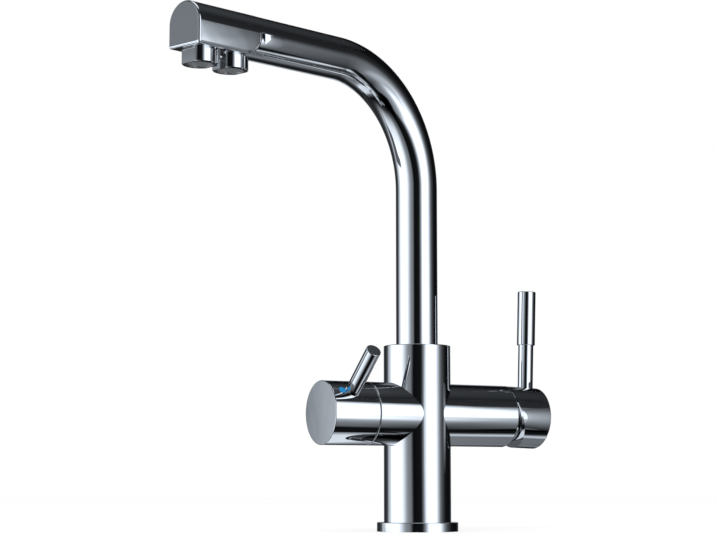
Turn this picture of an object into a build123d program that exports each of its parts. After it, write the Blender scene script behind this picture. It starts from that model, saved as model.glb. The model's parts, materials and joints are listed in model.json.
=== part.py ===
from build123d import *
from math import acos, asin, cos, degrees, radians, sin, sqrt, tan
import os

# Three way filtered water tap, in millimetres and degrees.
# The origin is on the column's axis at the deck face.  +X runs along the mixer arm,
# -Y faces the user and +Z is up.  The spout turns about Z.

# ---------------------------------------------------------------------- fits
seat_gap = 0.05  # radial gap between pieces that are fixed together
running_gap = 0.08  # radial gap of a shaft in its bearing
moving_gap = 0.3  # gap between neighbours that pass each other

# ------------------------------------------------------------ column and base
column_d = 48.0
column_top = 132.2
column_edge = 0.5  # rounding of the column's top edge
base_ring_d = 58.0
base_ring_h = 6.6
base_ring_edge = 0.6
gasket_section = 2.0  # width and depth of the rubber ring under the base

inlet_block_d = 41.0
inlet_block_h = 14.0
inlet_circle_r = 11.0
inlet_thread_d = 9.0  # M10 x 1 hose thread, at its minor diameter
inlet_thread_depth = 11.0
passage_d = 7.0
stud_circle_r = 13.0
stud_thread_d = 5.0  # M6 fixing studs, at the minor diameter
stud_thread_depth = 12.0
inlet_seal_section = 1.3

# ----------------------------------------------------------------------- arms
arm_d = 45.0
arm_z = 83.0  # height of both arms' axis
arm_edge = 0.9  # rounding of the arms' end edges
mixer_arm_reach = 73.3
filter_arm_reach = 42.8

# ---------------------------------------------------------------------- spout
spout_azimuth = 73.7  # turned from the front (-Y) towards the filter side (-X)
tube_d = 30.0
tube_wall = 1.2
spout_z = 329.7  # height of the spout's level stretch
spout_reach = 223.9
bend_r = 84.5

socket_d = 33.2
socket_depth = 26.2
swivel_washer_h = 1.5
swivel_washer_bore_d = 24.4
bush_rim_inset = 0.3
collar_h = 17.2
spigot_bore_d = 23.0
spigot_neck_h = 12.0
collar_groove_h = 4.0
collar_groove_depth = 2.0
seal_section = 1.5  # O-ring section
collar_seal_inset = 1.2  # land between a collar end and its O-ring groove
screw_d = 5.0  # M5 grub screws
screw_tip_d = 3.2
screw_tip_length = 2.1
screw_head_inset = 1.0
hex_socket_d = 2.9
hex_socket_depth = 2.5

filter_tube_d = 8.0
filter_tube_wall = 1.0
nipple_d = 10.0
nipple_length = 18.5
nipple_seat_depth = 13.0  # depth of the central bore below the socket's floor
nipple_lift = 6.5  # free height under the nipple, where filtered water enters
nipple_seal_section = 0.9
nipple_seal_lift = 2.5
mixed_passage_d = 5.6
mixed_passage_offset = 9.0
filter_link_d = 4.4
filter_link_start = 9.0  # behind the valve's flange seat
filter_link_bite = 0.7  # how far the link's start dips below the valve bore's roof
filter_link_end = 3.0  # end of the link beside the central seat's axis
filter_tube_lift = 2.0  # filter tube's foot above the socket's floor

# ---------------------------------------------------------------- outlet head
head_length = 57.0
head_step = 0.1  # head's skin stands this proud of the tube
head_sole = 0.3  # flat underside below the tube's underside
head_edge = 1.6
head_side_edge = 2.0  # rounding along the sole and up the squared half's rear end
neck_inset = 59.7  # deepest line of the neck behind the squared half, from the end face
neck_front_r = 17.0  # plan rounding of the cheeks into the neck
neck_throat_r = 6.0  # plan roundings out of the deepest line, tight and then wide
neck_throat_turn = 14.0
neck_rear_r = 20.0
neck_rear_turn = 16.0
neck_top = 0.5  # height above the spout's axis at which the neck ends
neck_length = 68.0  # head's seam with the tube, from the end face
head_spigot_length = 8.0
head_partition_inset = 31.0  # end of the mixed-water chamber, from the end face
filter_socket_depth = 6.0
filter_way_d = 6.0
filter_outlet_inset = 14.2  # outlet positions, from the head's end face
mixed_outlet_inset = 40.8
outlet_thread_d = 20.0
outlet_thread_depth = 7.0
outlet_throat_d = 15.0
outlet_throat_roof = 1.0  # filtered outlet's throat above the filtered way

aerator_d = 23.8
aerator_flats = 19.8  # two spanner flats, square to the spout
aerator_drop = 10.0
aerator_top_cut = 1.2  # turned cone towards the head
aerator_foot_cut = 0.5  # turned corner break at the open end
aerator_insert_d = 18.0
aerator_insert_recess = 0.8
aerator_ledge = 1.5
aerator_washer_h = 1.4
jet_hole_d = 1.9
jet_hole_rings = 3
jet_hole_apothem = 1.35

# --------------------------------------------------------------- filter valve
handle_seam = 0.5
valve_recess_wall = 4.0
valve_recess_d = arm_d - 2 * valve_recess_wall
valve_recess_depth = 6.8
valve_bore_d = 20.6
valve_bore_depth = 24.8  # from the arm's end to the valve seat
valve_flats = 24.0
valve_flange_h = 4.5
valve_thread_h = 6.0
valve_barrel_d = 18.0
valve_cavity_d = 15.0
valve_cavity_h = 9.5
valve_window = 6.0
valve_seat_hole_d = 8.0
valve_washer_h = 2.5
valve_washer_d = 17.0
valve_disc_h = 3.0
valve_disc_port_d = 4.4
valve_disc_port_offset = 3.9
spindle_d = 8.0
spindle_fork_h = 3.0
spindle_end_inset = 20.9  # handle's end face to the spindle's end
spindle_seal_section = 0.9
spindle_seal_lift = 1.5  # first seal above the valve's cavity
spindle_seal_pitch = 3.5
spindle_fork_side = 1.0  # fork's room at each side inside the moving disc's rim

filter_handle_end = 78.85  # reach of the handle's end face from the column's axis
filter_handle_wall = 3.0
filter_handle_face = 4.0
filter_handle_boss_d = 16.0
filter_handle_boss_inset = 3.0
filter_handle_edge = 0.6
filter_lever_d = 10.7
filter_lever_angle = 47.3  # lever's lean from upright towards the user
filter_lever_inset = 16.6  # lever's axis from the handle's end face
filter_lever_tip = 60.9  # lever's end from the arm's axis
filter_lever_edge = 0.4
lever_seat_depth = 1.4
lever_tail_d = 6.0
lever_tail_tip = 5.0
dot_d = 5.4
dot_gap = 0.35  # between the dot and the lever's foot
dot_depth = 0.9
dot_stand = 0.1
filter_screw_inset = 26.5  # grub screw from the handle's end face
filter_screw_length = 6.0

# ------------------------------------------------------------ mixing cartridge
cartridge_wall = 5.0  # arm wall around the 35 mm cartridge
cartridge_d = arm_d - 2 * cartridge_wall
pivot_inset = 3.3  # lever pivot inside the mixer arm's end
pivot_height = 32.0  # lever pivot above the cartridge chamber's floor
cartridge_base_h = 4.0
port_d = 5.2
inlet_port_y = 6.5
inlet_port_lift = 4.0
outlet_port_drop = 7.0
port_seal_width = 1.2
port_seal_h = 1.2
disc_h = 4.0
moving_disc_h = 3.5
moving_disc_d = 24.6
moving_disc_rest = -2.1  # how far the closed disc sits off the arm's axis
mixing_recess_d = 20.6
mixing_recess_depth = 2.0
mixing_recess_edge = 3.2
driver_plate_h = 3.0
driver_plate_d = 19.0
housing_wall = 2.5
housing_bore_d = cartridge_d - 2 * housing_wall
housing_neck_d = cartridge_d - 2 * housing_wall
housing_shoulder = 22.0  # outer shoulder above the chamber's floor
housing_h = 28.5
rotor_d = 24.0
rotor_flange_h = 4.0
rotor_top = 35.0
ball_arm = 12.0  # pivot to the middle of the stem's ball
ball_d = 7.0
ball_end_latitude = 75.0  # where the small flat on the ball's end begins
driver_wall_y = 1.2
driver_wall_z = 1.4
driver_boss_over = 3.0  # boss above the ball's middle
stem_square = 8.0
stem_neck_d = 5.0
stem_length = 29.0  # beyond the pivot
stem_foot = 4.0  # square stretch below the pivot
pin_d = 3.0
pin_end_inset = 0.3
nut_wall = 4.0  # arm wall around the cartridge nut
nut_d = arm_d - 2 * nut_wall
nut_slot = 5.0
nut_slot_depth = 2.0
mouth_wall = 2.5  # arm wall around the dome's skirt
mouth_d = arm_d - 2 * mouth_wall
mouth_depth = 6.3
dome_rim = 1.5  # arm's outer radius beyond the dome's
dome_r = arm_d / 2 - dome_rim
dome_wall = 1.2
dome_skirt_h = 6.0
dome_opening_d = 28.0

# --------------------------------------------------------------- mixer handle
rest_tilt = 1.8  # outward lean of the closed mixer handle
handle_travel = 20.0  # how far the handle tips outwards from closed to fully open
mixer_handle_end = 31.9  # end face beyond the pivot
mixer_handle_edge = 0.8
mixer_seam = 0.3
relief_angle = 17.2  # underside cut that gives the handle room to tip
relief_start = 10.0  # height above the arm's axis where the cut begins
mixer_lever_inset = 8.2  # lever's axis from the handle's end face
mixer_lever_d = 11.2
grip_d = 13.4
grip_foot = 53.9  # from the pivot, along the lever
grip_tip = 94.0
grip_edge = 0.5
grip_core_d = 8.0
grip_roof = 4.0
mixer_lever_tail_d = 6.0
mixer_lever_tail_length = 10.5
mixer_screw_inset = 6.9
mixer_screw_length = 9.0

# ---------------------------------------------------------------- derived sizes
column_r = column_d / 2
arm_r = arm_d / 2
tube_r = tube_d / 2
tube_bore_r = tube_r - tube_wall
head_r = tube_r + head_step
sole_drop = tube_r + head_sole
from_base = (Align.CENTER, Align.CENTER, Align.MIN)

cartridge_floor = mixer_arm_reach - pivot_inset - pivot_height
pivot_x = mixer_arm_reach - pivot_inset
pivot = Vector(pivot_x, 0, arm_z)
ball_height = pivot_height - ball_arm
disc_floor = cartridge_base_h
moving_disc_floor = disc_floor + disc_h
driver_floor = moving_disc_floor + moving_disc_h
rotor_floor = driver_floor + driver_plate_h + moving_gap
housing_step = rotor_floor + rotor_flange_h + running_gap
ball_rest = ball_arm * sin(radians(rest_tilt))
driver_travel = ball_arm * radians(handle_travel)
open_tilt = radians(rest_tilt + handle_travel)
ball_rise = ball_arm * (1 - cos(open_tilt)) + ball_d / 2
pocket_over = max(driver_boss_over, ball_rise) + moving_gap
neck_reach = (ball_arm - pocket_over) * tan(open_tilt)
rotor_slot_half = neck_reach + stem_neck_d / 2 / cos(open_tilt) + moving_gap

socket_floor = column_top - socket_depth
collar_foot = socket_floor + swivel_washer_h + moving_gap
tube_foot = collar_foot + collar_h
collar_r = socket_d / 2 - running_gap
collar_groove_z = collar_foot + (collar_h - collar_groove_h) / 2
collar_seal_heights = (
    collar_foot + collar_seal_inset,
    tube_foot - collar_seal_inset - seal_section - 2 * seat_gap,
)
nipple_foot = socket_floor - nipple_lift
filter_tube_foot = socket_floor + filter_tube_lift
nipple_seal_z = nipple_foot + nipple_seal_lift

valve_seat = filter_arm_reach - valve_bore_depth
valve_flange_foot = filter_arm_reach - valve_recess_depth
valve_barrel_foot = valve_seat + valve_washer_h
valve_cavity_top = valve_barrel_foot + valve_cavity_h
moving_valve_disc_foot = valve_barrel_foot + valve_disc_h
spindle_foot = moving_valve_disc_foot + valve_disc_h
spindle_end = filter_handle_end - spindle_end_inset
first_seal_foot = valve_cavity_top + spindle_seal_lift
spindle_seal_feet = (first_seal_foot, first_seal_foot + spindle_seal_pitch)
filter_handle_foot = filter_arm_reach + handle_seam
filter_cup_r = arm_r - filter_handle_wall
filter_cup_end = filter_handle_end - filter_handle_face
filter_boss_foot = filter_handle_foot + filter_handle_boss_inset
dot_inset = filter_lever_inset - filter_lever_d / 2 - dot_gap - dot_d / 2

inlet_angles = {"filtered": 180, "hot": 300, "cold": 60}
stud_angles = (120, 240)

# ------------------------------------------------------------ reference planes
arm_axis = Axis((0, 0, arm_z), (1, 0, 0))
arm_side = Plane(origin=(0, 0, arm_z), x_dir=(1, 0, 0), z_dir=(0, -1, 0))

spout_dir = Vector(-sin(radians(spout_azimuth)), -cos(radians(spout_azimuth)), 0)
spout_across = Vector(spout_dir.Y, -spout_dir.X, 0)
spout_side = Plane(origin=(0, 0, 0), x_dir=spout_dir, z_dir=spout_across)

handle_dir = Vector(cos(radians(rest_tilt)), 0, -sin(radians(rest_tilt)))
handle_up = Vector(sin(radians(rest_tilt)), 0, cos(radians(rest_tilt)))
handle_side = Plane(origin=pivot, x_dir=handle_dir, z_dir=(0, -1, 0))

lever_lean = radians(filter_lever_angle)
filter_lever_dir = Vector(0, -sin(lever_lean), cos(lever_lean))


def across_mixer_arm(reach):
    """Plane square to the mixer arm at a reach from the column's axis, facing outwards."""
    return Plane(origin=(reach, 0, arm_z), x_dir=(0, 1, 0), z_dir=(1, 0, 0))


def across_filter_arm(reach):
    """Plane square to the filter arm at a reach from the column's axis, facing outwards."""
    return Plane(origin=(-reach, 0, arm_z), x_dir=(0, -1, 0), z_dir=(-1, 0, 0))


def in_cartridge(height):
    """Plane square to the mixer arm, at a height above the cartridge chamber's floor."""
    return across_mixer_arm(cartridge_floor + height)


def across_mixer_handle(distance):
    """Plane square to the mixer handle's own axis, at a distance beyond the pivot."""
    return Plane(origin=pivot + handle_dir * distance, x_dir=(0, 1, 0), z_dir=handle_dir)


def along_mixer_lever(height):
    """Plane square to the mixer lever, at a height above the handle's axis."""
    foot = pivot + handle_dir * (mixer_handle_end - mixer_lever_inset)
    return Plane(origin=foot + handle_up * height, x_dir=(0, 1, 0), z_dir=handle_up)


def on_filter_handle(inset, radius, direction=filter_lever_dir):
    """Plane square to a radius of the filter handle, at an inset from its end face."""
    centre = Vector(inset - filter_handle_end, 0, arm_z)
    return Plane(origin=centre + direction * radius, x_dir=(1, 0, 0), z_dir=direction)


def across_spout(inset):
    """Plane square to the spout's level stretch, at an inset from its end face."""
    centre = spout_dir * (spout_reach - inset) + Vector(0, 0, spout_z)
    return Plane(origin=centre, x_dir=-spout_across, z_dir=spout_dir)


def under_spout(inset, drop):
    """Level plane below the spout's axis, facing up."""
    centre = spout_dir * (spout_reach - inset) + Vector(0, 0, spout_z - drop)
    return Plane(origin=centre, x_dir=spout_dir, z_dir=(0, 0, 1))


def at_foot(angle, radius, height=0.0):
    """Level plane over a hole of the inlet block."""
    centre = Vector(radius * cos(radians(angle)), radius * sin(radians(angle)), height)
    return Plane(origin=centre, x_dir=(1, 0, 0), z_dir=(0, 0, 1))


def bar(plane, diameter, length, mode=Mode.ADD):
    """A round bar, or a bore, along a plane's normal in the piece being built."""
    with Locations(plane):
        Cylinder(diameter / 2, length, align=from_base, mode=mode)


def bore(plane, diameter, length):
    bar(plane, diameter, length, Mode.SUBTRACT)


def hex_bar(plane, flats, length):
    """A hexagonal bar along a plane's normal in the piece being built."""
    with BuildSketch(plane) as outline:
        RegularPolygon(flats / 2, 6, major_radius=False)
    extrude(outline.sketch, amount=length)


def slab(plane, width, height, length, mode=Mode.ADD):
    """A rectangular bar, or slot, along a plane's normal in the piece being built."""
    with Locations(plane):
        Box(width, height, length, align=from_base, mode=mode)


def ring(plane, outer_d, inner_d, length):
    """A flat ring as a piece of its own."""
    with BuildPart() as band:
        bar(plane, outer_d, length)
        bore(plane, inner_d, length)
    return band


def grub_screw(plane, length, tip_d=screw_d, tip_length=0.0):
    """A grub screw that stands on its tip, with a hexagon socket in its outer end."""
    with BuildPart() as screw:
        bar(plane, tip_d, length)
        bar(plane.offset(tip_length), screw_d, length - tip_length)
        with BuildSketch(plane.offset(length)) as socket:
            RegularPolygon(hex_socket_d / 2, 6, major_radius=False)
        extrude(socket.sketch, amount=-hex_socket_depth, mode=Mode.SUBTRACT)
    return screw


# ==================================================================== column
# Cast body: the column, both arms, their chambers and the waterways between them.
hot_height = arm_z + inlet_port_lift
mixed_height = arm_z - outlet_port_drop
screw_z = collar_groove_z + collar_groove_h / 2
rear_screw_tip = collar_r - collar_groove_depth + moving_gap
rear_screw_length = column_r - screw_head_inset - rear_screw_tip

with BuildPart() as tap_body:
    bar(Plane.XY, column_d, column_top)
    fillet(tap_body.edges().group_by(Axis.Z)[-1], column_edge)
    bar(across_mixer_arm(0), arm_d, mixer_arm_reach)
    fillet(tap_body.edges().group_by(Axis.X)[-1], arm_edge)
    bar(across_filter_arm(0), arm_d, filter_arm_reach)
    fillet(tap_body.edges().group_by(Axis.X)[0], column_edge)
    # foot that takes the inlet block
    bore(Plane.XY, inlet_block_d + 2 * seat_gap, inlet_block_h)
    # spout socket, with the central seat of the filtered way
    bore(Plane.XY.offset(socket_floor), socket_d, socket_depth)
    bore(Plane.XY.offset(socket_floor - nipple_seat_depth), nipple_d + 2 * running_gap, nipple_seat_depth)
    # cartridge chamber, nut thread and mouth
    bore(in_cartridge(0), cartridge_d + 2 * seat_gap, mixer_arm_reach)
    bore(in_cartridge(housing_shoulder), nut_d + 2 * seat_gap, mixer_arm_reach)
    bore(across_mixer_arm(mixer_arm_reach - mouth_depth), mouth_d, mouth_depth)
    # filter valve chamber
    bore(across_filter_arm(valve_flange_foot), valve_recess_d, valve_recess_depth)
    bore(across_filter_arm(valve_seat), valve_bore_d, valve_bore_depth)
    # hot and cold ways, up the column and across to the cartridge
    for name, side in (("hot", -1), ("cold", 1)):
        rise = at_foot(inlet_angles[name], inlet_circle_r, inlet_block_h)
        bore(rise, passage_d, hot_height - inlet_block_h)
        across = Plane(
            origin=(rise.origin.X, side * inlet_port_y, hot_height), x_dir=(0, 1, 0), z_dir=(1, 0, 0)
        )
        bore(across, port_d, cartridge_floor - rise.origin.X)
    # mixed way, back from the cartridge and up into the spout socket
    mixed_turn = Plane(origin=(mixed_passage_offset, 0, mixed_height), x_dir=(0, 1, 0), z_dir=(1, 0, 0))
    bore(mixed_turn, mixed_passage_d, cartridge_floor - mixed_passage_offset)
    mixed_rise = Plane(origin=(mixed_passage_offset, 0, mixed_height), z_dir=(0, 0, 1))
    bore(mixed_rise, mixed_passage_d, socket_floor - mixed_height)
    # filtered way, up to the valve seat and on from the valve to the central seat
    filtered_rise = at_foot(inlet_angles["filtered"], inlet_circle_r, inlet_block_h)
    bore(filtered_rise, passage_d, arm_z - inlet_block_h)
    bore(across_filter_arm(inlet_circle_r), valve_seat_hole_d, valve_seat - inlet_circle_r)
    link_start_z = arm_z + valve_bore_d / 2 - filter_link_bite
    link_start = Vector(filter_link_start - valve_flange_foot, 0, link_start_z)
    link_end = Vector(-filter_link_end, 0, nipple_foot - filter_link_d / 2)
    link = link_end - link_start
    bore(Plane(origin=link_start, x_dir=(0, 1, 0), z_dir=link), filter_link_d, link.length)
    # rear hole of the spout's retaining screw
    rear = Plane(origin=(0, 0, screw_z), x_dir=(1, 0, 0), z_dir=(0, 1, 0))
    bore(rear, screw_d + 2 * seat_gap, column_d)

with BuildPart() as base_ring:
    bar(Plane.XY, base_ring_d, base_ring_h)
    fillet(base_ring.edges().group_by(Axis.Z)[-1], base_ring_edge)
    bore(Plane.XY, column_d + 2 * seat_gap, base_ring_h)
    groove_d = (base_ring_d + column_d) / 2 - gasket_section
    groove = Plane.XY
    with BuildSketch(groove):
        Circle(groove_d / 2 + gasket_section + seat_gap)
        Circle(groove_d / 2 - seat_gap, mode=Mode.SUBTRACT)
    extrude(amount=gasket_section, mode=Mode.SUBTRACT)

base_gasket = ring(Plane.XY, groove_d + 2 * gasket_section, groove_d, gasket_section)

with BuildPart() as inlet_block:
    bar(Plane.XY, inlet_block_d, inlet_block_h)
    for angle in inlet_angles.values():
        bore(at_foot(angle, inlet_circle_r), passage_d, inlet_block_h)
        bore(at_foot(angle, inlet_circle_r), inlet_thread_d, inlet_thread_depth)
        seal_seat = at_foot(angle, inlet_circle_r, inlet_block_h - inlet_seal_section)
        bore(seal_seat, passage_d + 4 * inlet_seal_section, inlet_seal_section)
    for angle in stud_angles:
        bore(at_foot(angle, stud_circle_r), stud_thread_d, stud_thread_depth)

with BuildPart() as inlet_seals:
    for angle in inlet_angles.values():
        seal_seat = at_foot(angle, inlet_circle_r, inlet_block_h - inlet_seal_section)
        bar(seal_seat, passage_d + 4 * inlet_seal_section - 2 * seat_gap, inlet_seal_section)
        bore(seal_seat, passage_d + 2 * seat_gap, inlet_seal_section)

# ============================================================== spout swivel
swivel_washer = ring(
    Plane.XY.offset(socket_floor), socket_d - 2 * seat_gap, swivel_washer_bore_d, swivel_washer_h
)

bush_foot = tube_foot + moving_gap
swivel_bush = ring(
    Plane.XY.offset(bush_foot),
    socket_d - 2 * seat_gap,
    tube_d + 2 * running_gap,
    column_top - bush_rim_inset - bush_foot,
)

spout_retaining_screw = grub_screw(
    rear.offset(rear_screw_tip), rear_screw_length, screw_tip_d, screw_tip_length
)

with BuildPart() as spout_spigot:
    bar(Plane.XY.offset(collar_foot), 2 * collar_r, collar_h)
    bar(Plane.XY.offset(tube_foot), 2 * (tube_bore_r - seat_gap), spigot_neck_h)
    bore(Plane.XY.offset(collar_foot), spigot_bore_d, collar_h + spigot_neck_h)
    with BuildSketch(Plane.XY.offset(collar_groove_z)):
        Circle(collar_r)
        Circle(collar_r - collar_groove_depth, mode=Mode.SUBTRACT)
    extrude(amount=collar_groove_h, mode=Mode.SUBTRACT)
    for seal_z in collar_seal_heights:
        with BuildSketch(Plane.XY.offset(seal_z)):
            Circle(collar_r)
            Circle(collar_r - seal_section, mode=Mode.SUBTRACT)
        extrude(amount=seal_section + 2 * seat_gap, mode=Mode.SUBTRACT)

with BuildPart() as spout_orings:
    for seal_z in collar_seal_heights:
        bar(Plane.XY.offset(seal_z + seat_gap), 2 * collar_r, seal_section)
        bore(Plane.XY.offset(seal_z + seat_gap), 2 * (collar_r - seal_section), seal_section)

# ===================================================================== spout
bend_foot = spout_z - bend_r


def spout_pipe(foot, end_inset, outer_d, wall):
    """A bent pipe on the spout's centre line: upright, one quarter bend, level."""
    with BuildPart() as pipe:
        with BuildLine(spout_side) as centre_line:
            Line((0, foot), (0, bend_foot))
            RadiusArc((0, bend_foot), (bend_r, spout_z), bend_r)
            Line((bend_r, spout_z), (spout_reach - end_inset, spout_z))
        with BuildSketch(Plane.XY.offset(foot)) as section:
            Circle(outer_d / 2)
            Circle(outer_d / 2 - wall, mode=Mode.SUBTRACT)
        sweep(section.sketch, path=centre_line.line)
    return pipe


spout_tube = spout_pipe(tube_foot, neck_length, tube_d, tube_wall)
filter_socket_floor = head_partition_inset - filter_socket_depth
filter_tube = spout_pipe(filter_tube_foot, filter_socket_floor, filter_tube_d, filter_tube_wall)

with BuildPart() as filter_tube_nipple:
    bar(Plane.XY.offset(nipple_foot), nipple_d, nipple_length)
    bore(Plane.XY.offset(nipple_foot), filter_tube_d - 2 * filter_tube_wall, nipple_length)
    bore(Plane.XY.offset(filter_tube_foot), filter_tube_d + 2 * seat_gap, nipple_length)
    with BuildSketch(Plane.XY.offset(nipple_seal_z)):
        Circle(nipple_d / 2)
        Circle(nipple_d / 2 - nipple_seal_section, mode=Mode.SUBTRACT)
    extrude(amount=nipple_seal_section + 2 * seat_gap, mode=Mode.SUBTRACT)

filter_nipple_oring = ring(
    Plane.XY.offset(nipple_seal_z + seat_gap),
    nipple_d,
    nipple_d - 2 * nipple_seal_section,
    nipple_seal_section,
)

neck_turn = neck_throat_turn + neck_rear_turn
neck_throat_rise = neck_throat_r * (cos(radians(neck_rear_turn)) - cos(radians(neck_turn)))
neck_rear_rise = neck_rear_r * (1 - cos(radians(neck_rear_turn)))
neck_depth = head_step + neck_throat_rise + neck_rear_rise
neck_front_turn = degrees(acos(1 - neck_depth / neck_front_r))
with BuildPart() as outlet_head:
    # squared lower half, which starts in a quarter circle behind the outlets
    with BuildSketch(spout_side) as block_side:
        with BuildLine():
            rear_r = spout_reach - head_length
            bottom = spout_z - sole_drop
            quarter = RadiusArc((rear_r, spout_z), (rear_r + sole_drop, bottom), -sole_drop)
            Polyline(quarter @ 1, (spout_reach, bottom), (spout_reach, spout_z), quarter @ 0)
        make_face()
    extrude(block_side.sketch, amount=head_r, both=True)
    spout_line = Axis((0, 0, 0), tuple(spout_dir))
    cheeks = outlet_head.edges().group_by(Axis((0, 0, 0), tuple(spout_across)))
    for cheek in (cheeks[0], cheeks[-1]):
        fillet(cheek.sort_by(Axis.Z)[:-1].sort_by(spout_line)[:-1], head_side_edge)
    # round upper half
    with BuildSketch(across_spout(head_length)) as roof:
        with BuildLine():
            roof_arc = CenterArc((0, 0), head_r, 0, 180)
            Line(roof_arc @ 1, roof_arc @ 0)
        make_face()
    extrude(roof.sketch, amount=head_length)
    fillet(outlet_head.edges().group_by(spout_line)[-1], head_edge)
    bar(across_spout(neck_length), tube_d, neck_length - filter_outlet_inset)
    # neck ground in behind the cheeks
    with BuildSketch(under_spout(neck_inset, 2 * sole_drop)) as neck:
        with BuildLine():
            front_x = neck_front_r * sin(radians(neck_front_turn))
            front = JernArc((front_x, head_r), (-1, 0), neck_front_r, neck_front_turn)
            rise = (-cos(radians(neck_turn)), sin(radians(neck_turn)))
            throat = JernArc(front @ 1, rise, neck_throat_r, neck_throat_turn)
            rear = JernArc(throat @ 1, throat % 1, neck_rear_r, neck_rear_turn)
            rear_top = ((rear @ 1).X, tube_d)
            Polyline(rear @ 1, rear_top, (front_x, tube_d), front @ 0)
        make_face()
        mirror(about=Plane.XZ)
    extrude(neck.sketch, amount=2 * sole_drop + neck_top, mode=Mode.SUBTRACT)
    # spigot into the spout tube, and the mixed-water chamber behind the partition
    spigot_plane = across_spout(neck_length + head_spigot_length)
    bar(spigot_plane, 2 * (tube_bore_r - seat_gap), head_spigot_length)
    bore(spigot_plane, spigot_bore_d, neck_length + head_spigot_length - head_partition_inset)
    # filtered way through the partition to the front outlet
    bore(across_spout(head_partition_inset), filter_tube_d + 2 * seat_gap, filter_socket_depth)
    bore(across_spout(filter_socket_floor), filter_way_d, filter_socket_floor - filter_outlet_inset)
    throat_tops = (filter_way_d / 2 + outlet_throat_roof, 0)
    for inset, throat_top in zip((filter_outlet_inset, mixed_outlet_inset), throat_tops):
        bore(under_spout(inset, sole_drop), outlet_thread_d, outlet_thread_depth)
        bore(under_spout(inset, sole_drop), outlet_throat_d, sole_drop + throat_top)


# ================================================================== aerators
def aerator_housing(inset):
    """Round aerator housing with two spanner flats and a threaded neck, under the head."""
    seat = under_spout(inset, sole_drop)
    foot = under_spout(inset, sole_drop + aerator_drop)
    with BuildPart() as housing:
        with BuildSketch(Plane(origin=foot.origin, x_dir=foot.x_dir, z_dir=foot.y_dir)) as turned:
            with BuildLine():
                top = -aerator_drop
                rim = aerator_d / 2
                Polyline(
                    (0, 0),
                    (rim - aerator_foot_cut, 0),
                    (rim, -aerator_foot_cut),
                    (rim, top + aerator_top_cut),
                    (rim - aerator_top_cut, top),
                    (0, top),
                    close=True,
                )
            make_face()
        revolve(turned.sketch, axis=Axis(foot.origin, (0, 0, 1)))
        slab(foot, aerator_flats, aerator_d, aerator_drop, Mode.INTERSECT)
        bar(seat, outlet_thread_d - 2 * seat_gap, outlet_thread_depth - aerator_washer_h)
        bore(foot, aerator_insert_d + 2 * seat_gap, aerator_drop - aerator_ledge)
        bore(foot, outlet_throat_d, aerator_drop + outlet_thread_depth)
    return housing


def aerator_insert(inset):
    """Perforated jet insert, recessed in its housing."""
    foot = under_spout(inset, sole_drop + aerator_drop - aerator_insert_recess)
    with BuildPart() as insert:
        bar(foot, aerator_insert_d, aerator_drop - aerator_ledge - aerator_insert_recess)
        with BuildSketch(foot) as holes:
            with HexLocations(jet_hole_apothem, 2 * jet_hole_rings + 1, 2 * jet_hole_rings + 1):
                Circle(jet_hole_d / 2)
        extrude(holes.sketch, amount=aerator_drop, mode=Mode.SUBTRACT)
    return insert


filtered_aerator_housing = aerator_housing(filter_outlet_inset)
mixed_aerator_housing = aerator_housing(mixed_outlet_inset)
filtered_aerator_insert = aerator_insert(filter_outlet_inset)
mixed_aerator_insert = aerator_insert(mixed_outlet_inset)

with BuildPart() as aerator_washers:
    for inset in (filter_outlet_inset, mixed_outlet_inset):
        seat = under_spout(inset, sole_drop - outlet_thread_depth + aerator_washer_h)
        bar(seat, outlet_thread_d - 2 * seat_gap, aerator_washer_h)
        bore(seat, outlet_throat_d, aerator_washer_h)

# ============================================================== filter valve
valve_body_length = valve_flange_foot + valve_flange_h - valve_barrel_foot

with BuildPart() as filter_valve_body:
    bar(across_filter_arm(valve_barrel_foot), valve_barrel_d, valve_body_length)
    thread_foot = valve_flange_foot - valve_thread_h
    bar(across_filter_arm(thread_foot), valve_bore_d - 2 * seat_gap, valve_thread_h)
    hex_bar(across_filter_arm(valve_flange_foot), valve_flats, valve_flange_h)
    bore(across_filter_arm(valve_barrel_foot), valve_cavity_d, valve_cavity_h)
    bore(across_filter_arm(valve_barrel_foot), spindle_d + 2 * running_gap, valve_body_length)
    window_foot = across_filter_arm(spindle_foot)
    slab(window_foot, valve_window, valve_barrel_d, valve_cavity_top - spindle_foot, Mode.SUBTRACT)

filter_seat_washer = ring(
    across_filter_arm(valve_seat), valve_washer_d, valve_seat_hole_d, valve_washer_h
)


def valve_disc(foot):
    """Ceramic disc with two opposite water ports."""
    with BuildPart() as disc:
        bar(across_filter_arm(foot), valve_cavity_d - 2 * running_gap, valve_disc_h)
        with BuildSketch(across_filter_arm(foot)) as ports:
            with PolarLocations(valve_disc_port_offset, 2):
                Circle(valve_disc_port_d / 2)
        extrude(ports.sketch, amount=valve_disc_h, mode=Mode.SUBTRACT)
    return disc


filter_fixed_disc = valve_disc(valve_barrel_foot)
filter_moving_disc = valve_disc(moving_valve_disc_foot)

with BuildPart() as filter_spindle:
    bar(across_filter_arm(spindle_foot), spindle_d, spindle_end - spindle_foot)
    fork = across_filter_arm(spindle_foot)
    fork_width = valve_cavity_d - 4 * running_gap - 2 * spindle_fork_side
    slab(fork, fork_width, spindle_d / 2, spindle_fork_h)
    for foot in spindle_seal_feet:
        with BuildSketch(across_filter_arm(foot)) as land:
            Circle(spindle_d / 2)
            Circle(spindle_d / 2 - spindle_seal_section, mode=Mode.SUBTRACT)
        extrude(land.sketch, amount=spindle_seal_section + 2 * seat_gap, mode=Mode.SUBTRACT)

with BuildPart() as filter_spindle_orings:
    for foot in spindle_seal_feet:
        seal = across_filter_arm(foot + seat_gap)
        bar(seal, spindle_d, spindle_seal_section)
        bore(seal, spindle_d - 2 * spindle_seal_section, spindle_seal_section)

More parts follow.
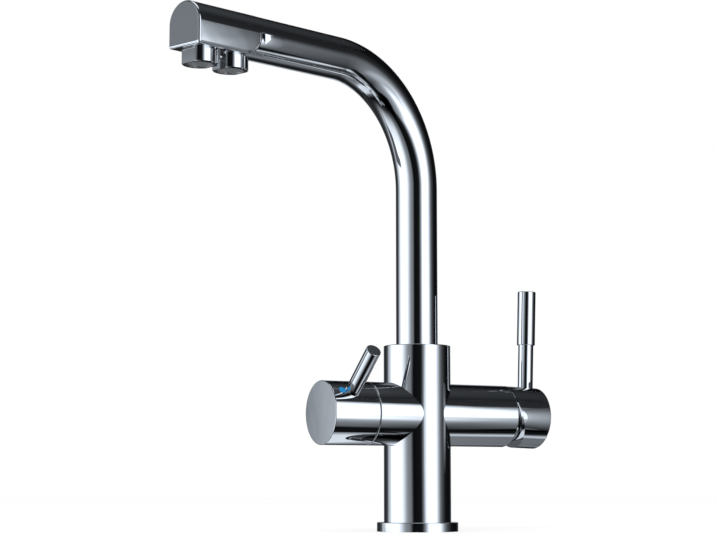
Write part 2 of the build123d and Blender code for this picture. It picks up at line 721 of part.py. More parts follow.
# ============================================================= filter handle
with BuildPart() as filter_handle:
    bar(across_filter_arm(filter_handle_foot), arm_d, filter_handle_end - filter_handle_foot)
    fillet(filter_handle.edges().group_by(Axis.X)[0], filter_handle_edge)
    fillet(filter_handle.edges().group_by(Axis.X)[-1], column_edge)
    bore(
        across_filter_arm(filter_handle_foot), 2 * filter_cup_r, filter_cup_end - filter_handle_foot
    )
    boss = across_filter_arm(filter_boss_foot)
    bar(boss, filter_handle_boss_d, filter_cup_end - filter_boss_foot)
    bore(boss, spindle_d + 2 * seat_gap, spindle_end - filter_boss_foot)
    # seat and thread of the lever
    bore(
        on_filter_handle(filter_lever_inset, arm_r - lever_seat_depth),
        filter_lever_d + 2 * seat_gap,
        arm_r,
    )
    bore(on_filter_handle(filter_lever_inset, lever_tail_tip), lever_tail_d + 2 * seat_gap, arm_r)
    bore(on_filter_handle(dot_inset, arm_r - dot_depth), dot_d + 2 * seat_gap, arm_r)
    screw_hole = on_filter_handle(filter_screw_inset, 0, -filter_lever_dir)
    bore(screw_hole, screw_d + 2 * seat_gap, column_r)

with BuildPart() as filter_lever:
    lever_seat = on_filter_handle(filter_lever_inset, arm_r - lever_seat_depth)
    bar(lever_seat, filter_lever_d, filter_lever_tip - arm_r + lever_seat_depth)
    lever_axis = Axis((0, 0, arm_z), tuple(filter_lever_dir))
    fillet(filter_lever.edges().group_by(lever_axis)[-1], filter_lever_edge)
    lever_tail = on_filter_handle(filter_lever_inset, lever_tail_tip)
    bar(lever_tail, lever_tail_d, arm_r - lever_seat_depth - lever_tail_tip)

with BuildPart() as blue_index_dot:
    bar(on_filter_handle(dot_inset, arm_r - dot_depth), dot_d, arm_r)
    with BuildSketch(across_filter_arm(filter_handle_foot)) as skin:
        Circle(arm_r + dot_stand)
    extrude(skin.sketch, amount=filter_handle_end - filter_handle_foot, mode=Mode.INTERSECT)

filter_handle_grub_screw = grub_screw(
    on_filter_handle(filter_screw_inset, spindle_d / 2 + seat_gap, -filter_lever_dir),
    filter_screw_length,
)

# ========================================================== mixing cartridge
port_places = (
    (-inlet_port_y, inlet_port_lift),
    (inlet_port_y, inlet_port_lift),
    (0, -outlet_port_drop),
)
port_seal_d = port_d + 2 * port_seal_width


def ports(height, diameter, length, mode):
    """The hot, cold and mixed ports of the cartridge, at one height."""
    with BuildSketch(in_cartridge(height)) as outline:
        with Locations(*port_places):
            Circle(diameter / 2)
    extrude(outline.sketch, amount=length, mode=mode)


with BuildPart() as cartridge_base:
    bar(in_cartridge(0), cartridge_d, cartridge_base_h)
    ports(0, port_d, cartridge_base_h, Mode.SUBTRACT)
    ports(0, port_seal_d + 2 * seat_gap, port_seal_h, Mode.SUBTRACT)

with BuildPart() as cartridge_port_seals:
    ports(0, port_seal_d, port_seal_h, Mode.ADD)
    ports(0, port_d, port_seal_h, Mode.SUBTRACT)

with BuildPart() as mixer_fixed_disc:
    bar(in_cartridge(disc_floor), housing_bore_d - 2 * seat_gap, disc_h)
    ports(disc_floor, port_d, disc_h, Mode.SUBTRACT)

with BuildPart() as cartridge_housing:
    bar(in_cartridge(disc_floor), cartridge_d, housing_shoulder - disc_floor)
    bar(in_cartridge(housing_shoulder), housing_neck_d, housing_h - housing_shoulder)
    bore(in_cartridge(disc_floor), housing_bore_d, housing_step - disc_floor)
    bore(in_cartridge(disc_floor), rotor_d + 2 * running_gap, housing_h)

with BuildPart() as cartridge_nut:
    nut_h = housing_h - housing_shoulder
    bar(in_cartridge(housing_shoulder), nut_d, nut_h)
    bore(in_cartridge(housing_shoulder), housing_neck_d + 2 * seat_gap, nut_h)
    slots = in_cartridge(housing_h - nut_slot_depth)
    for turn in (0, 90):
        slab(slots.rotated((0, 0, turn)), nut_slot, nut_d, nut_slot_depth, Mode.SUBTRACT)

disc_plane = in_cartridge(moving_disc_floor)
with BuildPart() as mixer_moving_disc:
    with BuildSketch(disc_plane):
        with Locations((0, moving_disc_rest)):
            Circle(moving_disc_d / 2)
    extrude(amount=moving_disc_h)
    with BuildSketch(disc_plane):
        with Locations((0, moving_disc_rest)):
            Circle(mixing_recess_d / 2)
        with Locations((0, moving_disc_rest + mixing_recess_edge)):
            Rectangle(
                moving_disc_d,
                moving_disc_d,
                align=(Align.CENTER, Align.MIN),
                mode=Mode.SUBTRACT,
            )
    extrude(amount=mixing_recess_depth, mode=Mode.SUBTRACT)

driver_slot = ball_d + 2 * moving_gap
driver_boss_y = driver_slot + 2 * driver_wall_y
driver_boss_z = driver_slot + 2 * driver_wall_z
driver_boss_h = ball_height + driver_boss_over - driver_floor

with BuildPart() as disc_driver:
    with BuildSketch(in_cartridge(driver_floor)):
        with Locations((0, moving_disc_rest)):
            Circle(driver_plate_d / 2)
    extrude(amount=driver_plate_h)
    with BuildSketch(in_cartridge(driver_floor)):
        with Locations((0, ball_rest)):
            Rectangle(driver_boss_y, driver_boss_z)
    extrude(amount=driver_boss_h)
    slot_floor = ball_height - ball_d / 2 - moving_gap
    with BuildSketch(in_cartridge(slot_floor)):
        with Locations((0, ball_rest)):
            Rectangle(driver_slot, driver_slot)
    extrude(amount=driver_boss_h, mode=Mode.SUBTRACT)

with BuildPart() as cartridge_rotor:
    bar(in_cartridge(rotor_floor), housing_bore_d - 2 * running_gap, rotor_flange_h)
    bar(in_cartridge(rotor_floor), rotor_d, rotor_top - rotor_floor)
    # pocket in which the driver slides
    pocket_low = ball_rest - driver_boss_z / 2 - moving_gap
    pocket_high = ball_rest + driver_boss_z / 2 + driver_travel + moving_gap
    pocket_top = ball_height + pocket_over
    with BuildSketch(in_cartridge(rotor_floor)):
        with Locations((0, (pocket_low + pocket_high) / 2)):
            Rectangle(driver_boss_y + 2 * moving_gap, pocket_high - pocket_low)
    extrude(amount=pocket_top - rotor_floor, mode=Mode.SUBTRACT)
    slab(
        in_cartridge(rotor_floor),
        stem_square + 2 * moving_gap,
        2 * rotor_slot_half,
        rotor_top - rotor_floor,
        Mode.SUBTRACT,
    )
    pin_line = Plane(origin=pivot, x_dir=(1, 0, 0), z_dir=(0, 1, 0))
    bore(pin_line.offset(-rotor_d), pin_d + 2 * seat_gap, 2 * rotor_d)

pin_half = rotor_d / 2 - pin_end_inset
with BuildPart() as stem_pin:
    bar(pin_line.offset(-pin_half), pin_d, 2 * pin_half)

# Chromed dome that hides the nut; its ball shape is centred on the lever's pivot.
dome_inner_r = dome_r - dome_wall
dome_open_r = dome_opening_d / 2
skirt_r = mouth_d / 2 - seat_gap
with BuildPart() as dome_cover:
    with BuildSketch(Plane(origin=pivot, x_dir=(1, 0, 0), z_dir=(0, -1, 0))):
        with BuildLine():
            outer_open = degrees(asin(dome_open_r / dome_r))
            outer_base = degrees(acos(pivot_inset / dome_r))
            inner_open = degrees(asin(dome_open_r / dome_inner_r))
            inner_base = degrees(acos(pivot_inset / dome_inner_r))
            outer = CenterArc((0, 0), dome_r, outer_open, outer_base - outer_open)
            inner = CenterArc((0, 0), dome_inner_r, inner_open, inner_base - inner_open)
            Line(outer @ 0, inner @ 0)
            Polyline(
                inner @ 1,
                (pivot_inset, skirt_r - dome_wall),
                (pivot_inset - dome_skirt_h, skirt_r - dome_wall),
                (pivot_inset - dome_skirt_h, skirt_r),
                (pivot_inset, skirt_r),
                outer @ 1,
            )
        make_face()
    revolve(axis=arm_axis)

# ============================================================== mixer handle
handle_foot = pivot_inset + mixer_seam
handle_length = mixer_handle_end - handle_foot
lever_distance = mixer_handle_end - mixer_lever_inset

with BuildPart() as mixer_handle:
    bar(across_mixer_handle(handle_foot), arm_d, handle_length)
    handle_axis = Axis(pivot, handle_dir)
    fillet(mixer_handle.edges().group_by(handle_axis)[-1], mixer_handle_edge)
    # wedge cut away below, so that the handle can tip outwards
    relief_depth = (relief_start + arm_r) * tan(radians(relief_angle))
    with BuildSketch(handle_side) as relief:
        with BuildLine():
            Polyline(
                (handle_foot, relief_start),
                (handle_foot + relief_depth, -arm_r),
                (handle_foot, -arm_r),
                close=True,
            )
        make_face()
    extrude(relief.sketch, amount=arm_d, both=True, mode=Mode.SUBTRACT)
    # hollow that swings over the dome
    with Locations(Location(pivot)):
        Sphere(dome_r + moving_gap, mode=Mode.SUBTRACT)
    socket_length = stem_length + moving_gap
    slab(across_mixer_handle(0), stem_square + 2 * seat_gap, stem_square + 2 * seat_gap, socket_length,
         Mode.SUBTRACT)
    bore(along_mixer_lever(arm_r - mixer_lever_tail_length), mixer_lever_tail_d + 2 * seat_gap, arm_r)
    screw_start = pivot + handle_dir * (mixer_handle_end - mixer_screw_inset)
    screw_line = Plane(origin=screw_start, x_dir=(0, 1, 0), z_dir=-handle_up)
    bore(screw_line, screw_d + 2 * seat_gap, arm_d)

with BuildPart() as mixer_lever_stem:
    bar(along_mixer_lever(arm_r - mixer_lever_tail_length), mixer_lever_tail_d, mixer_lever_tail_length)
    # the stem's foot follows the handle's round surface
    bar(along_mixer_lever(arm_r - mixer_lever_d / 2), mixer_lever_d, grip_foot - arm_r + mixer_lever_d / 2)
    with BuildSketch(across_mixer_handle(0)) as handle_round:
        Circle(arm_r)
    extrude(handle_round.sketch, amount=mixer_handle_end + arm_r, mode=Mode.SUBTRACT)
    bar(along_mixer_lever(arm_r - mixer_lever_tail_length), mixer_lever_tail_d, mixer_lever_tail_length)
    bar(along_mixer_lever(grip_foot), grip_core_d, grip_tip - grip_roof - grip_foot)

with BuildPart() as mixer_lever_grip:
    bar(along_mixer_lever(grip_foot), grip_d, grip_tip - grip_foot)
    lever_line = Axis(along_mixer_lever(0).origin, handle_up)
    fillet(mixer_lever_grip.edges().group_by(lever_line)[-1], grip_edge)
    fillet(mixer_lever_grip.edges().group_by(lever_line)[0], grip_edge)
    bore(along_mixer_lever(grip_foot), grip_core_d + 2 * seat_gap, grip_tip - grip_roof - grip_foot)

with BuildPart() as cartridge_stem:
    slab(across_mixer_handle(-stem_foot), stem_square, stem_square, stem_length + stem_foot)
    bar(across_mixer_handle(-ball_arm), stem_neck_d, ball_arm)
    with Locations(across_mixer_handle(-ball_arm)):
        Sphere(ball_d / 2, arc_size1=-ball_end_latitude, align=None)
    bore(pin_line.offset(-rotor_d), pin_d + 2 * running_gap, 2 * rotor_d)

mixer_handle_grub_screw = grub_screw(
    screw_line.offset(stem_square / 2 + seat_gap), mixer_screw_length
)

# ===================================================================== output
pieces = {
    "tap_body": tap_body,
    "base_ring": base_ring,
    "base_gasket": base_gasket,
    "inlet_block": inlet_block,
    "inlet_seals": inlet_seals,
    "swivel_washer": swivel_washer,
    "swivel_bush": swivel_bush,
    "spout_retaining_screw": spout_retaining_screw,
    "spout_spigot": spout_spigot,
    "spout_orings": spout_orings,
    "spout_tube": spout_tube,
    "filter_tube": filter_tube,
    "filter_tube_nipple": filter_tube_nipple,
    "filter_nipple_oring": filter_nipple_oring,
    "outlet_head": outlet_head,
    "filtered_aerator_housing": filtered_aerator_housing,
    "mixed_aerator_housing": mixed_aerator_housing,
    "filtered_aerator_insert": filtered_aerator_insert,
    "mixed_aerator_insert": mixed_aerator_insert,
    "aerator_washers": aerator_washers,
    "filter_valve_body": filter_valve_body,
    "filter_seat_washer": filter_seat_washer,
    "filter_fixed_disc": filter_fixed_disc,
    "filter_moving_disc": filter_moving_disc,
    "filter_spindle": filter_spindle,
    "filter_spindle_orings": filter_spindle_orings,
    "filter_handle": filter_handle,
    "filter_lever": filter_lever,
    "blue_index_dot": blue_index_dot,
    "filter_handle_grub_screw": filter_handle_grub_screw,
    "cartridge_base": cartridge_base,
    "cartridge_port_seals": cartridge_port_seals,
    "mixer_fixed_disc": mixer_fixed_disc,
    "cartridge_housing": cartridge_housing,
    "cartridge_nut": cartridge_nut,
    "mixer_moving_disc": mixer_moving_disc,
    "disc_driver": disc_driver,
    "cartridge_rotor": cartridge_rotor,
    "stem_pin": stem_pin,
    "dome_cover": dome_cover,
    "mixer_handle": mixer_handle,
    "mixer_lever_stem": mixer_lever_stem,
    "mixer_lever_grip": mixer_lever_grip,
    "cartridge_stem": cartridge_stem,
    "mixer_handle_grub_screw": mixer_handle_grub_screw,
}

os.makedirs("parts", exist_ok=True)
for name, piece in pieces.items():
    piece.part.label = name
    export_step(piece.part, f"parts/{name}.step")
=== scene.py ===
"""Three way filtered water tap: looks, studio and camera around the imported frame.

Lengths are metres in the part's frame: the column's axis stands at the origin on the deck,
+X runs along the mixer arm, -Y faces the user and +Z is up.
"""
import json
import math

import bpy
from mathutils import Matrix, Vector

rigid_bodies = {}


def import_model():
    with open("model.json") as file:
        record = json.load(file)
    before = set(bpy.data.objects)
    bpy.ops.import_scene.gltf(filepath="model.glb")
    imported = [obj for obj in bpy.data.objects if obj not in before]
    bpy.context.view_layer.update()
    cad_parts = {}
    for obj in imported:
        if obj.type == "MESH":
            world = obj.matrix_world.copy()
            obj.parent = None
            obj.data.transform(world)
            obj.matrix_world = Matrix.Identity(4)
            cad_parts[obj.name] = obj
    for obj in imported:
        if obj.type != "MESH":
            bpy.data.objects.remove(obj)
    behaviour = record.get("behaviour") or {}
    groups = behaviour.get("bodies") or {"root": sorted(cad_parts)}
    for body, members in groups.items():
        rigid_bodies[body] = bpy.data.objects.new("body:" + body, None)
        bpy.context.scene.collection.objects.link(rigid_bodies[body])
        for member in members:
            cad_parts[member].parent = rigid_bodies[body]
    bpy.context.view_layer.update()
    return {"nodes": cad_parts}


for thing in list(bpy.data.objects):
    bpy.data.objects.remove(thing)

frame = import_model()
scene = bpy.context.scene
scene.view_settings.view_transform = "Standard"

# ---------------------------------------------------------------------- camera
CAMERA_SIDE = math.radians(31.678)  # stands this far round from the front, to the filter side
CAMERA_DISTANCE = 1.341883
CAMERA_HEIGHT = 0.033834
CAMERA_YAW = math.radians(-1.813)  # off the column's axis
CAMERA_PITCH = math.radians(6.532)
CAMERA_LENS = 93.79  # lens and sensor in millimetres
CAMERA_SENSOR = 36.0
CAMERA_NEAREST = 0.05
CAMERA_FURTHEST = 30.0


def make_camera():
    lens = bpy.data.cameras.new("camera")
    lens.sensor_width = CAMERA_SENSOR
    lens.lens = CAMERA_LENS
    lens.clip_start = CAMERA_NEAREST
    lens.clip_end = CAMERA_FURTHEST
    camera = bpy.data.objects.new("camera", lens)
    camera.location = (
        -math.sin(CAMERA_SIDE) * CAMERA_DISTANCE,
        -math.cos(CAMERA_SIDE) * CAMERA_DISTANCE,
        CAMERA_HEIGHT,
    )
    heading = -(CAMERA_SIDE + CAMERA_YAW)
    camera.rotation_euler = (math.pi / 2 + CAMERA_PITCH, 0.0, heading)
    scene.collection.objects.link(camera)
    scene.camera = camera


# ------------------------------------------------------------ material helpers
# Texture scales are in cycles per metre and bump depths in metres.
WHITE = (1.0, 1.0, 1.0, 1.0)
NOISE_RANGE = (0.3, 0.7)  # nearly all values of a noise texture lie in here
NOISE_ROUGHNESS = 0.55


def blank_tree(owner, output_kind):
    """Empties the nodes of a material or world; returns its tree and the output's socket."""
    owner.use_nodes = True
    tree = owner.node_tree
    tree.nodes.clear()
    output = tree.nodes.new(output_kind)
    return tree, output.inputs["Surface"]


def new_material(name):
    """A material with a fresh Principled shader; returns it with its nodes and shader."""
    material = bpy.data.materials.new(name)
    tree, surface = blank_tree(material, "ShaderNodeOutputMaterial")
    shader = tree.nodes.new("ShaderNodeBsdfPrincipled")
    tree.links.new(shader.outputs["BSDF"], surface)
    return material, tree, shader


def noise(tree, scale, detail, along_z=1.0):
    """Noise over a piece's own coordinates; along_z below 1 draws it out, above 1 makes rings."""
    place = tree.nodes.new("ShaderNodeTexCoord")
    mapping = tree.nodes.new("ShaderNodeMapping")
    mapping.inputs["Scale"].default_value = (1.0, 1.0, along_z)
    texture = tree.nodes.new("ShaderNodeTexNoise")
    texture.inputs["Scale"].default_value = scale
    texture.inputs["Detail"].default_value = detail
    texture.inputs["Roughness"].default_value = NOISE_ROUGHNESS
    tree.links.new(place.outputs["Object"], mapping.inputs["Vector"])
    tree.links.new(mapping.outputs["Vector"], texture.inputs["Vector"])
    return texture.outputs["Fac"]


def spread(tree, value, low, high, source=NOISE_RANGE):
    """Maps a range of a texture's values to low and high."""
    node = tree.nodes.new("ShaderNodeMapRange")
    node.inputs["From Min"].default_value = source[0]
    node.inputs["From Max"].default_value = source[1]
    node.inputs["To Min"].default_value = low
    node.inputs["To Max"].default_value = high
    tree.links.new(value, node.inputs["Value"])
    return node.outputs["Result"]


def tone(tree, value, dark, light):
    """Blends two colours by a texture."""
    ramp = tree.nodes.new("ShaderNodeValToRGB")
    for stop, place, colour in zip(ramp.color_ramp.elements, NOISE_RANGE, (dark, light)):
        stop.position = place
        stop.color = (*colour, 1.0)
    tree.links.new(value, ramp.inputs["Fac"])
    return ramp.outputs["Color"]


def bump(tree, height, depth, under=None):
    """Relief of a depth in metres, laid over the relief under it."""
    node = tree.nodes.new("ShaderNodeBump")
    node.inputs["Distance"].default_value = depth
    tree.links.new(height, node.inputs["Height"])
    if under is not None:
        tree.links.new(under, node.inputs["Normal"])
    return node.outputs["Normal"]


# ------------------------------------------------------------------- materials
CHROME_DARK = (0.865, 0.87, 0.875)
CHROME_LIGHT = (0.895, 0.90, 0.905)
CHROME_ROUGHNESS = (0.025, 0.06)
CHROME_WAVES = 0.00003
CHROME_HAIRLINES = 0.0000003
HAIRLINE_RANGE = (0.62, 0.7)


def chrome():
    """Polished chrome plate: a thin film, a wiped shine, polishing waves and hairlines."""
    material, tree, shader = new_material("chrome_plate")
    shader.inputs["Metallic"].default_value = 1.0
    film = noise(tree, scale=38.0, detail=4.0)
    tree.links.new(tone(tree, film, CHROME_DARK, CHROME_LIGHT), shader.inputs["Base Color"])
    wiped = noise(tree, scale=70.0, detail=5.0, along_z=0.25)
    tree.links.new(spread(tree, wiped, *CHROME_ROUGHNESS), shader.inputs["Roughness"])
    waves = bump(tree, noise(tree, scale=55.0, detail=1.0), CHROME_WAVES)
    streaks = noise(tree, scale=1500.0, detail=2.0, along_z=0.02)
    hairlines = spread(tree, streaks, 0.0, 1.0, source=HAIRLINE_RANGE)
    surface = bump(tree, hairlines, CHROME_HAIRLINES, under=waves)
    tree.links.new(surface, shader.inputs["Normal"])
    return material


TARNISH_ROUGHNESS = (1.25, 0.8)  # shares of the roughness, where it's dark and where it's light
GRAIN_DEPTH = 0.3  # share of the tool rings' depth
TURNED_ANISOTROPY = 0.4


def turned(name, dark, light, roughness, rings):
    """Bare turned metal: tool rings, mottled tarnish and an uneven shine."""
    material, tree, shader = new_material(name)
    shader.inputs["Metallic"].default_value = 1.0
    shader.inputs["Anisotropic"].default_value = TURNED_ANISOTROPY
    tarnish = noise(tree, scale=90.0, detail=5.0)
    tree.links.new(tone(tree, tarnish, dark, light), shader.inputs["Base Color"])
    shine = spread(tree, tarnish, *(part * roughness for part in TARNISH_ROUGHNESS))
    tree.links.new(shine, shader.inputs["Roughness"])
    grooves = bump(tree, noise(tree, scale=40.0, detail=2.0, along_z=90.0), rings)
    grain = noise(tree, scale=2500.0, detail=2.0)
    surface = bump(tree, grain, GRAIN_DEPTH * rings, under=grooves)
    tree.links.new(surface, shader.inputs["Normal"])
    return material


CLOUD_DARK = 0.88  # shares of the colour
CLOUD_LIGHT = 1.06
SKIN_ROUGHNESS = (0.85, 1.15)  # shares of the roughness
PIT_RANGE = (0.24, 0.34)


def moulded(name, colour, roughness, grain, sheen, coat):
    """Moulded rubber, plastic or ceramic: soft cloudiness, a fine eroded skin and tiny pits."""
    material, tree, shader = new_material(name)
    cloud = noise(tree, scale=60.0, detail=4.0)
    dark = tuple(CLOUD_DARK * c for c in colour)
    light = tuple(min(1.0, CLOUD_LIGHT * c) for c in colour)
    tree.links.new(tone(tree, cloud, dark, light), shader.inputs["Base Color"])
    skin = noise(tree, scale=900.0, detail=3.0)
    uneven = spread(tree, skin, *(part * roughness for part in SKIN_ROUGHNESS))
    tree.links.new(uneven, shader.inputs["Roughness"])
    pits = spread(tree, noise(tree, scale=2200.0, detail=1.0), 1.0, 0.0, source=PIT_RANGE)
    surface = bump(tree, pits, -grain, under=bump(tree, skin, grain))
    tree.links.new(surface, shader.inputs["Normal"])
    shader.inputs["Sheen Weight"].default_value = sheen
    shader.inputs["Coat Weight"].default_value = coat
    return material


# By the CAD's material names. Turned: dark and light colour, roughness, depth of the rings.
TURNED = {
    "raw_brass": ((0.60, 0.40, 0.16), (0.83, 0.63, 0.32), 0.3, 0.00002),
    "stainless_steel": ((0.50, 0.50, 0.51), (0.66, 0.66, 0.67), 0.26, 0.00001),
}
# Moulded: colour, roughness, depth of the grain, sheen, coat.
MOULDED = {
    "black_rubber": ((0.024, 0.024, 0.026), 0.6, 0.00003, 0.15, 0.0),
    "white_plastic": ((0.82, 0.82, 0.79), 0.36, 0.00001, 0.0, 0.0),
    "grey_plastic": ((0.17, 0.175, 0.185), 0.4, 0.00002, 0.0, 0.0),
    "blue_enamel": ((0.003, 0.24, 0.55), 0.3, 0.00001, 0.0, 0.5),
    "ceramic_disc": ((0.84, 0.83, 0.79), 0.14, 0.000003, 0.0, 0.3),
}

finishes = {"polished_chrome": chrome()}
finishes.update((name, turned(name, *look)) for name, look in TURNED.items())
finishes.update((name, moulded(name, *look)) for name, look in MOULDED.items())

for cad_node in frame["nodes"].values():
    for slot in cad_node.material_slots:
        slot.material = finishes[slot.material.name]

# --------------------------------------------------------------- studio helpers
# Directions round the tap are degrees right of the line to the camera, as the camera sees it:
# below 0 lies the filter side, above 0 the mixer side. Light levels are in tables of pairs.
CARD_TINT = (0.905, 0.99, 1.10)  # the cards are a little blue


def stage_object(name, mesh, material):
    mesh.materials.append(material)
    thing = bpy.data.objects.new(name, mesh)
    scene.collection.objects.link(thing)
    return thing


def reflector(name, rows, columns, point, level):
    """A studio card seen only in reflections; row and column give each point and its light."""
    spots = [(row, column) for row in rows for column in columns]
    width = len(columns)
    firsts = [i * width + j for i in range(len(rows) - 1) for j in range(width - 1)]
    faces = [(first, first + 1, first + width + 1, first + width) for first in firsts]
    mesh = bpy.data.meshes.new(name)
    mesh.from_pydata([point(*spot) for spot in spots], [], faces)
    glow = mesh.color_attributes.new("glow", "FLOAT_COLOR", "POINT")
    for corner, spot in zip(glow.data, spots):
        light = level(*spot)
        corner.color = (*(light * c for c in CARD_TINT), 1.0)
    material = bpy.data.materials.new(name)
    tree, surface = blank_tree(material, "ShaderNodeOutputMaterial")
    emission = tree.nodes.new("ShaderNodeEmission")
    colour = tree.nodes.new("ShaderNodeVertexColor")
    colour.layer_name = "glow"
    tree.links.new(colour.outputs["Color"], emission.inputs["Color"])
    tree.links.new(emission.outputs["Emission"], surface)
    card = stage_object(name, mesh, material)
    card.visible_camera = False
    card.visible_diffuse = False
    card.visible_shadow = False


def steps(start, end, step):
    """Even steps from start to end, with both."""
    count = round((end - start) / step)
    return [start + step * i for i in range(count + 1)]


def share(where, start, end):
    """0 up to start, 1 from end on, and a straight line between them."""
    return min(1.0, max(0.0, (where - start) / (end - start)))


def blend(low, high, part):
    return low + (high - low) * part


def level_at(table, where):
    """Straight-line reading of a table of (place, level) pairs; its end levels go on."""
    if where <= table[0][0]:
        return table[0][1]
    for (a, low), (b, high) in zip(table, table[1:]):
        if where <= b:
            return blend(low, high, (where - a) / (b - a))
    return table[-1][1]


def round_point(angle, radius, height):
    """Point in a direction round the tap."""
    side = CAMERA_SIDE - math.radians(angle)
    return (-math.sin(side) * radius, -math.cos(side) * radius, height)


# ------------------------------------------------------------ walls and ceiling
# Light level of the walls by direction.
WALL = (
    # behind the tap, then the large window on the filter side
    (-180, 0.45), (-170, 0.45), (-164, 0.08), (-142, 0.02), (-133, 0.03),
    (-125, 0.1), (-119.2, 0.15), (-118.6, 0.2), (-117.4, 0.43), (-115, 0.55), (-110, 0.6),
    (-105, 0.75), (-100, 1.15), (-96, 1.35), (-57, 1.35), (-51, 1.1), (-44, 0.78), (-37, 0.41),
    # grey board and black strip beside the camera
    (-30, 0.26), (-21, 0.2), (-16, 0.07), (-12, 0.004), (11, 0.008),
    # the window on the mixer side, then dark round to the back
    (15, 0.02), (20, 0.16), (24, 0.35), (29, 0.85), (34, 1.35), (66, 1.35), (70, 1.05),
    (75, 0.68), (80, 0.4), (84, 0.22), (88, 0.15), (92, 0.09), (98, 0.045), (106, 0.02),
    (112, 0.006), (142, 0.004), (150, 0.03), (158, 0.09), (166, 0.12), (171, 0.45), (180, 0.45),
)
WALL_RADIUS = 2.0
CEILING_HEIGHT = 2.0
TABLE_HEIGHT = -0.15  # the reflected table top lies below the deck
ALL_ROUND = steps(-180, 180, 0.5)
# Rows of the wall, close together where it fades upwards.
WALL_ROWS = (
    TABLE_HEIGHT, -0.08, -0.04, 0.0, 0.3, 0.44,
    *steps(0.5, 1.19, 0.03),
    *steps(1.25, CEILING_HEIGHT, 0.05),
)

# Heights between which the walls fade to the level above; on the mixer side, by direction.
FILTER_SIDE_TOP = (0.56, 0.73)
MIXER_SIDE_TOP_START = ((60, 1.3), (70, 0.45))
MIXER_SIDE_TOP_END = ((60, 2.1), (70, 1.1))
ABOVE = (
    (-140, 0.05), (-100, 0.2), (-80, 0.21), (-60, 0.35), (-45, 0.3), (0, 0.03), (60, 0.03),
    (90, 0.02), (110, 0.013), (130, 0.005),
)

# The large window ends above the table in the directions that the head's sole mirrors, and
# its light on the table ends at a distance that depends on the direction.
SOLE_VIEW = (-110, -80)
SOLE_FOOT = -0.06
SOLE_LEVEL = 0.1  # share of the window's light that is left
SOLE_START = ((-110, 0.42), (-94, 0.5), (-88, 1.15), (-80, 1.3))
SOLE_FADE = 0.15


def wall_level(height, angle):
    """Light of the walls, which fade upwards."""
    if angle < 0:
        start, end = FILTER_SIDE_TOP
    else:
        start = level_at(MIXER_SIDE_TOP_START, angle)
        end = level_at(MIXER_SIDE_TOP_END, angle)
    wall = level_at(WALL, angle)
    if height < SOLE_FOOT and SOLE_VIEW[0] < angle < SOLE_VIEW[1]:
        wall *= SOLE_LEVEL
    above = min(wall, level_at(ABOVE, angle))
    return blend(wall, above, share(height, start, end))


reflector(
    "studio_wall",
    rows=WALL_ROWS,
    columns=ALL_ROUND,
    point=lambda height, angle: round_point(angle, WALL_RADIUS, height),
    level=wall_level,
)

# Small soft lamp on the mixer side, mirrored in the head's cheek: level by direction, times
# level by height.
LAMP_RADIUS = 1.97
LAMP_ACROSS = (
    (83.2, 1.1), (83.8, 0.9), (84.1, 0.47), (84.8, 0.33), (85.7, 0.2), (86.4, 0.14), (88.0, 0.0),
)
LAMP_UPWARDS = (
    (0.79, 0.0), (0.805, 2.3), (0.82, 2.1), (0.828, 1.5), (0.835, 1.15), (0.842, 1.0),
    (0.849, 0.85), (0.857, 0.45), (0.865, 0.1), (0.88, 0.0),
)


def lamp_level(height, angle):
    lamp = level_at(LAMP_UPWARDS, height) * level_at(LAMP_ACROSS, angle)
    return max(wall_level(height, angle), lamp)


reflector(
    "studio_lamp",
    rows=steps(LAMP_UPWARDS[0][0], LAMP_UPWARDS[-1][0], 0.005),
    columns=steps(LAMP_ACROSS[0][0], LAMP_ACROSS[-1][0], 0.2),
    point=lambda height, angle: round_point(angle, LAMP_RADIUS, height),
    level=lamp_level,
)

# Overhead softbox and the dark ceiling round it, by distance from the column's axis.
CEILING = ((0.0, 0.95), (0.7, 0.95), (0.95, 0.06), (1.4, 0.035), (2.0, 0.013))
CEILING_MIDDLE = 0.01  # radius of its innermost row
reflector(
    "studio_ceiling",
    rows=[CEILING_MIDDLE] + steps(0.1, WALL_RADIUS, 0.1),
    columns=steps(-180, 180, 5),
    point=lambda radius, angle: round_point(angle, radius, CEILING_HEIGHT),
    level=lambda radius, angle: level_at(CEILING, radius),
)

# ------------------------------------------------------------- table and stand
# Table on the filter side: share of the wall's light, by distance.
TABLE_FILTER_SIDE = (
    (0.12, 0.01), (0.18, 0.03), (0.21, 0.12), (0.25, 0.25), (0.3, 0.43), (0.35, 0.56),
    (0.4, 0.66), (0.5, 0.76), (0.7, 0.88), (1.0, 1.0),
)
# On the mixer side: levels by distance in front and beside, the directions between which one
# turns into the other, and the distance where the table begins, by direction.
TABLE_FRONT = ((0.2, 0.16), (0.3, 0.17), (0.4, 0.26), (0.5, 0.36), (0.6, 0.58), (0.8, 1.35))
TABLE_BESIDE = ((0.24, 0.03), (0.3, 0.06), (0.4, 0.12), (0.5, 0.18), (0.8, 0.42), (1.2, 0.5))
TABLE_TURN = (58, 70)
TABLE_START = (
    (10, 0.33), (40, 0.33), (50, 0.21), (70, 0.22), (80, 0.26), (86, 0.4), (92, 0.5),
)
START_FADE = (-0.02, 0.04)  # ends of the fade, measured from the beginning
# At the rear: level by distance, beyond this direction to both sides.
TABLE_REAR = (
    (0.15, 0.8), (0.2, 0.45), (0.3, 0.3), (0.4, 0.15), (0.5, 0.05), (0.6, 0.012), (2.0, 0.02),
)
REAR_ANGLE = 152

